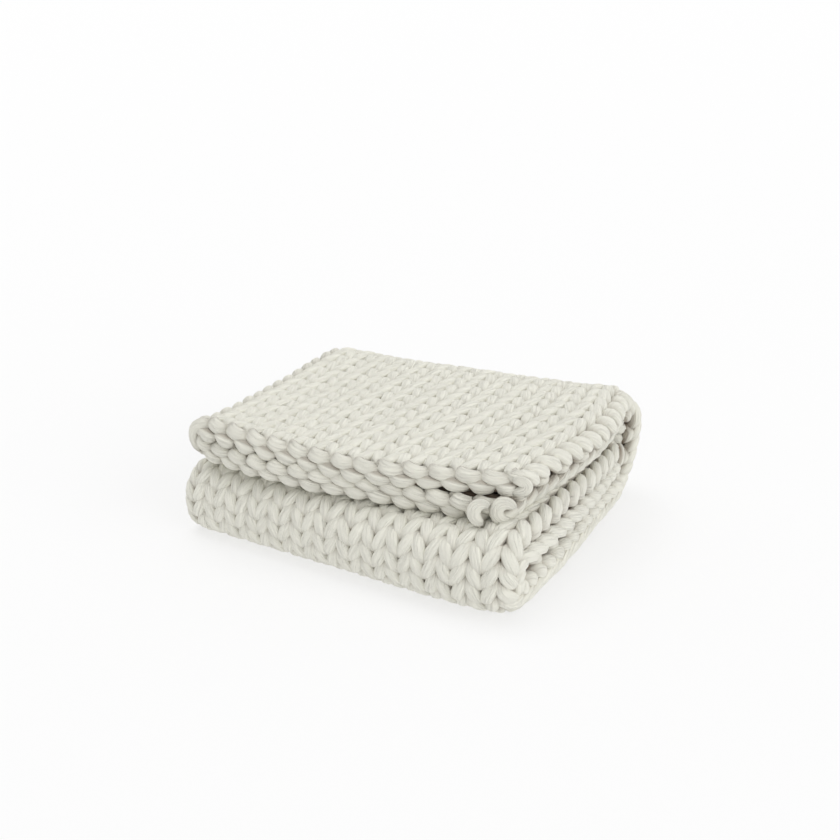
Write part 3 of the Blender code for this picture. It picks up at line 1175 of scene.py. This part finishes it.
FLOOR_HALF = 6.0
FLOOR_ROUGHNESS = 0.95
WORLD_LIGHT = 0.76
LIT_MIDDLE = Vector((0.0, 0.0, 0.1))
WHITE = (1.0, 1.0, 1.0, 1.0)


class BLANKET_OT_stage(bpy.types.Operator):
    """Put the blanket on a pale floor under soft light, seen by one camera"""

    bl_idname = "blanket.stage"
    bl_label = "Set Stage"

    def execute(self, context):
        look = context.scene.blanket_stage
        make_floor(look)
        make_light()
        make_camera(look)
        return {"FINISHED"}


def set_inputs(node, values):
    for name, value in values.items():
        node.inputs[name].default_value = value


def make_floor(look):
    material = bpy.data.materials.new("pale_floor")
    material.use_nodes = True
    set_inputs(material.node_tree.nodes["Principled BSDF"], {
        "Base Color": look.floor_colour, "Roughness": FLOOR_ROUGHNESS, "Emission Color": WHITE,
        "Emission Strength": look.floor_glow,
    })
    mesh = bpy.data.meshes.new("floor")
    corners = [(x * FLOOR_HALF, y * FLOOR_HALF, 0) for x, y in ((-1, -1), (1, -1), (1, 1), (-1, 1))]
    mesh.from_pydata(corners, [], [(0, 1, 2, 3)])
    mesh.materials.append(material)
    floor = new_object("floor", mesh)


def make_light():
    world = bpy.data.worlds.new("studio")
    world.use_nodes = True
    set_inputs(world.node_tree.nodes["Background"], {"Color": WHITE, "Strength": WORLD_LIGHT})
    bpy.context.scene.world = world
    for name, place, spread, power in (
        ("overhead_light", (-0.7, 0.2, 2.2), 40.0, 0.70),
        ("side_light", (2.3, -0.2, 1.1), 50.0, 0.83),
    ):
        lamp = bpy.data.lights.new(name, "SUN")
        lamp.angle = math.radians(spread)
        lamp.energy = power
        light = new_object(name, lamp)
        light.location = place
        way = LIT_MIDDLE - Vector(place)
        light.rotation_euler = way.to_track_quat("-Z", "Y").to_euler()
    bpy.context.scene.view_settings.view_transform = "Standard"


def make_camera(look):
    away = Vector((
        math.sin(look.bearing) * math.cos(look.elevation),
        -math.cos(look.bearing) * math.cos(look.elevation),
        math.sin(look.elevation),
    ))
    camera = new_object("camera", bpy.data.cameras.new("camera"))
    camera.data.lens = look.lens
    camera.location = Vector(look.aim) + away * look.distance
    camera.rotation_euler = (-away).to_track_quat("-Z", "Y").to_euler()
    bpy.context.scene.camera = camera


class BLANKET_PT_panel(bpy.types.Panel):
    """The steps that make the blanket, in order"""

    bl_idname = "BLANKET_PT_panel"
    bl_label = "Knitted Blanket"
    bl_space_type = "VIEW_3D"
    bl_region_type = "UI"
    bl_category = "Blanket"

    def draw(self, context):
        for step in STEPS:
            self.layout.operator(step.bl_idname)


SETTINGS = {
    "blanket_sizes": YarnSizes, "blanket_edge": EdgeSizes, "blanket_look": YarnLook,
    "blanket_stage": StageLook,
}
STEPS = (
    BLANKET_OT_guide, BLANKET_OT_outer_courses, BLANKET_OT_inner_courses, BLANKET_OT_twisted_edges,
    BLANKET_OT_loose_loops, BLANKET_OT_stage,
)


def register():
    for kind in (*SETTINGS.values(), *STEPS, BLANKET_PT_panel):
        bpy.utils.register_class(kind)
    for name, kind in SETTINGS.items():
        setattr(bpy.types.Scene, name, PointerProperty(type=kind))


def unregister():
    for name in SETTINGS:
        delattr(bpy.types.Scene, name)
    for kind in (BLANKET_PT_panel, *reversed(STEPS), *SETTINGS.values()):
        bpy.utils.unregister_class(kind)


def main():
    register()
    bpy.ops.blanket.guide()
    bpy.ops.blanket.outer_courses()
    bpy.ops.blanket.inner_courses()
    bpy.ops.blanket.twisted_edges()
    bpy.ops.blanket.loose_loops()
    bpy.ops.blanket.stage()


if __name__ == "__main__":
    main()
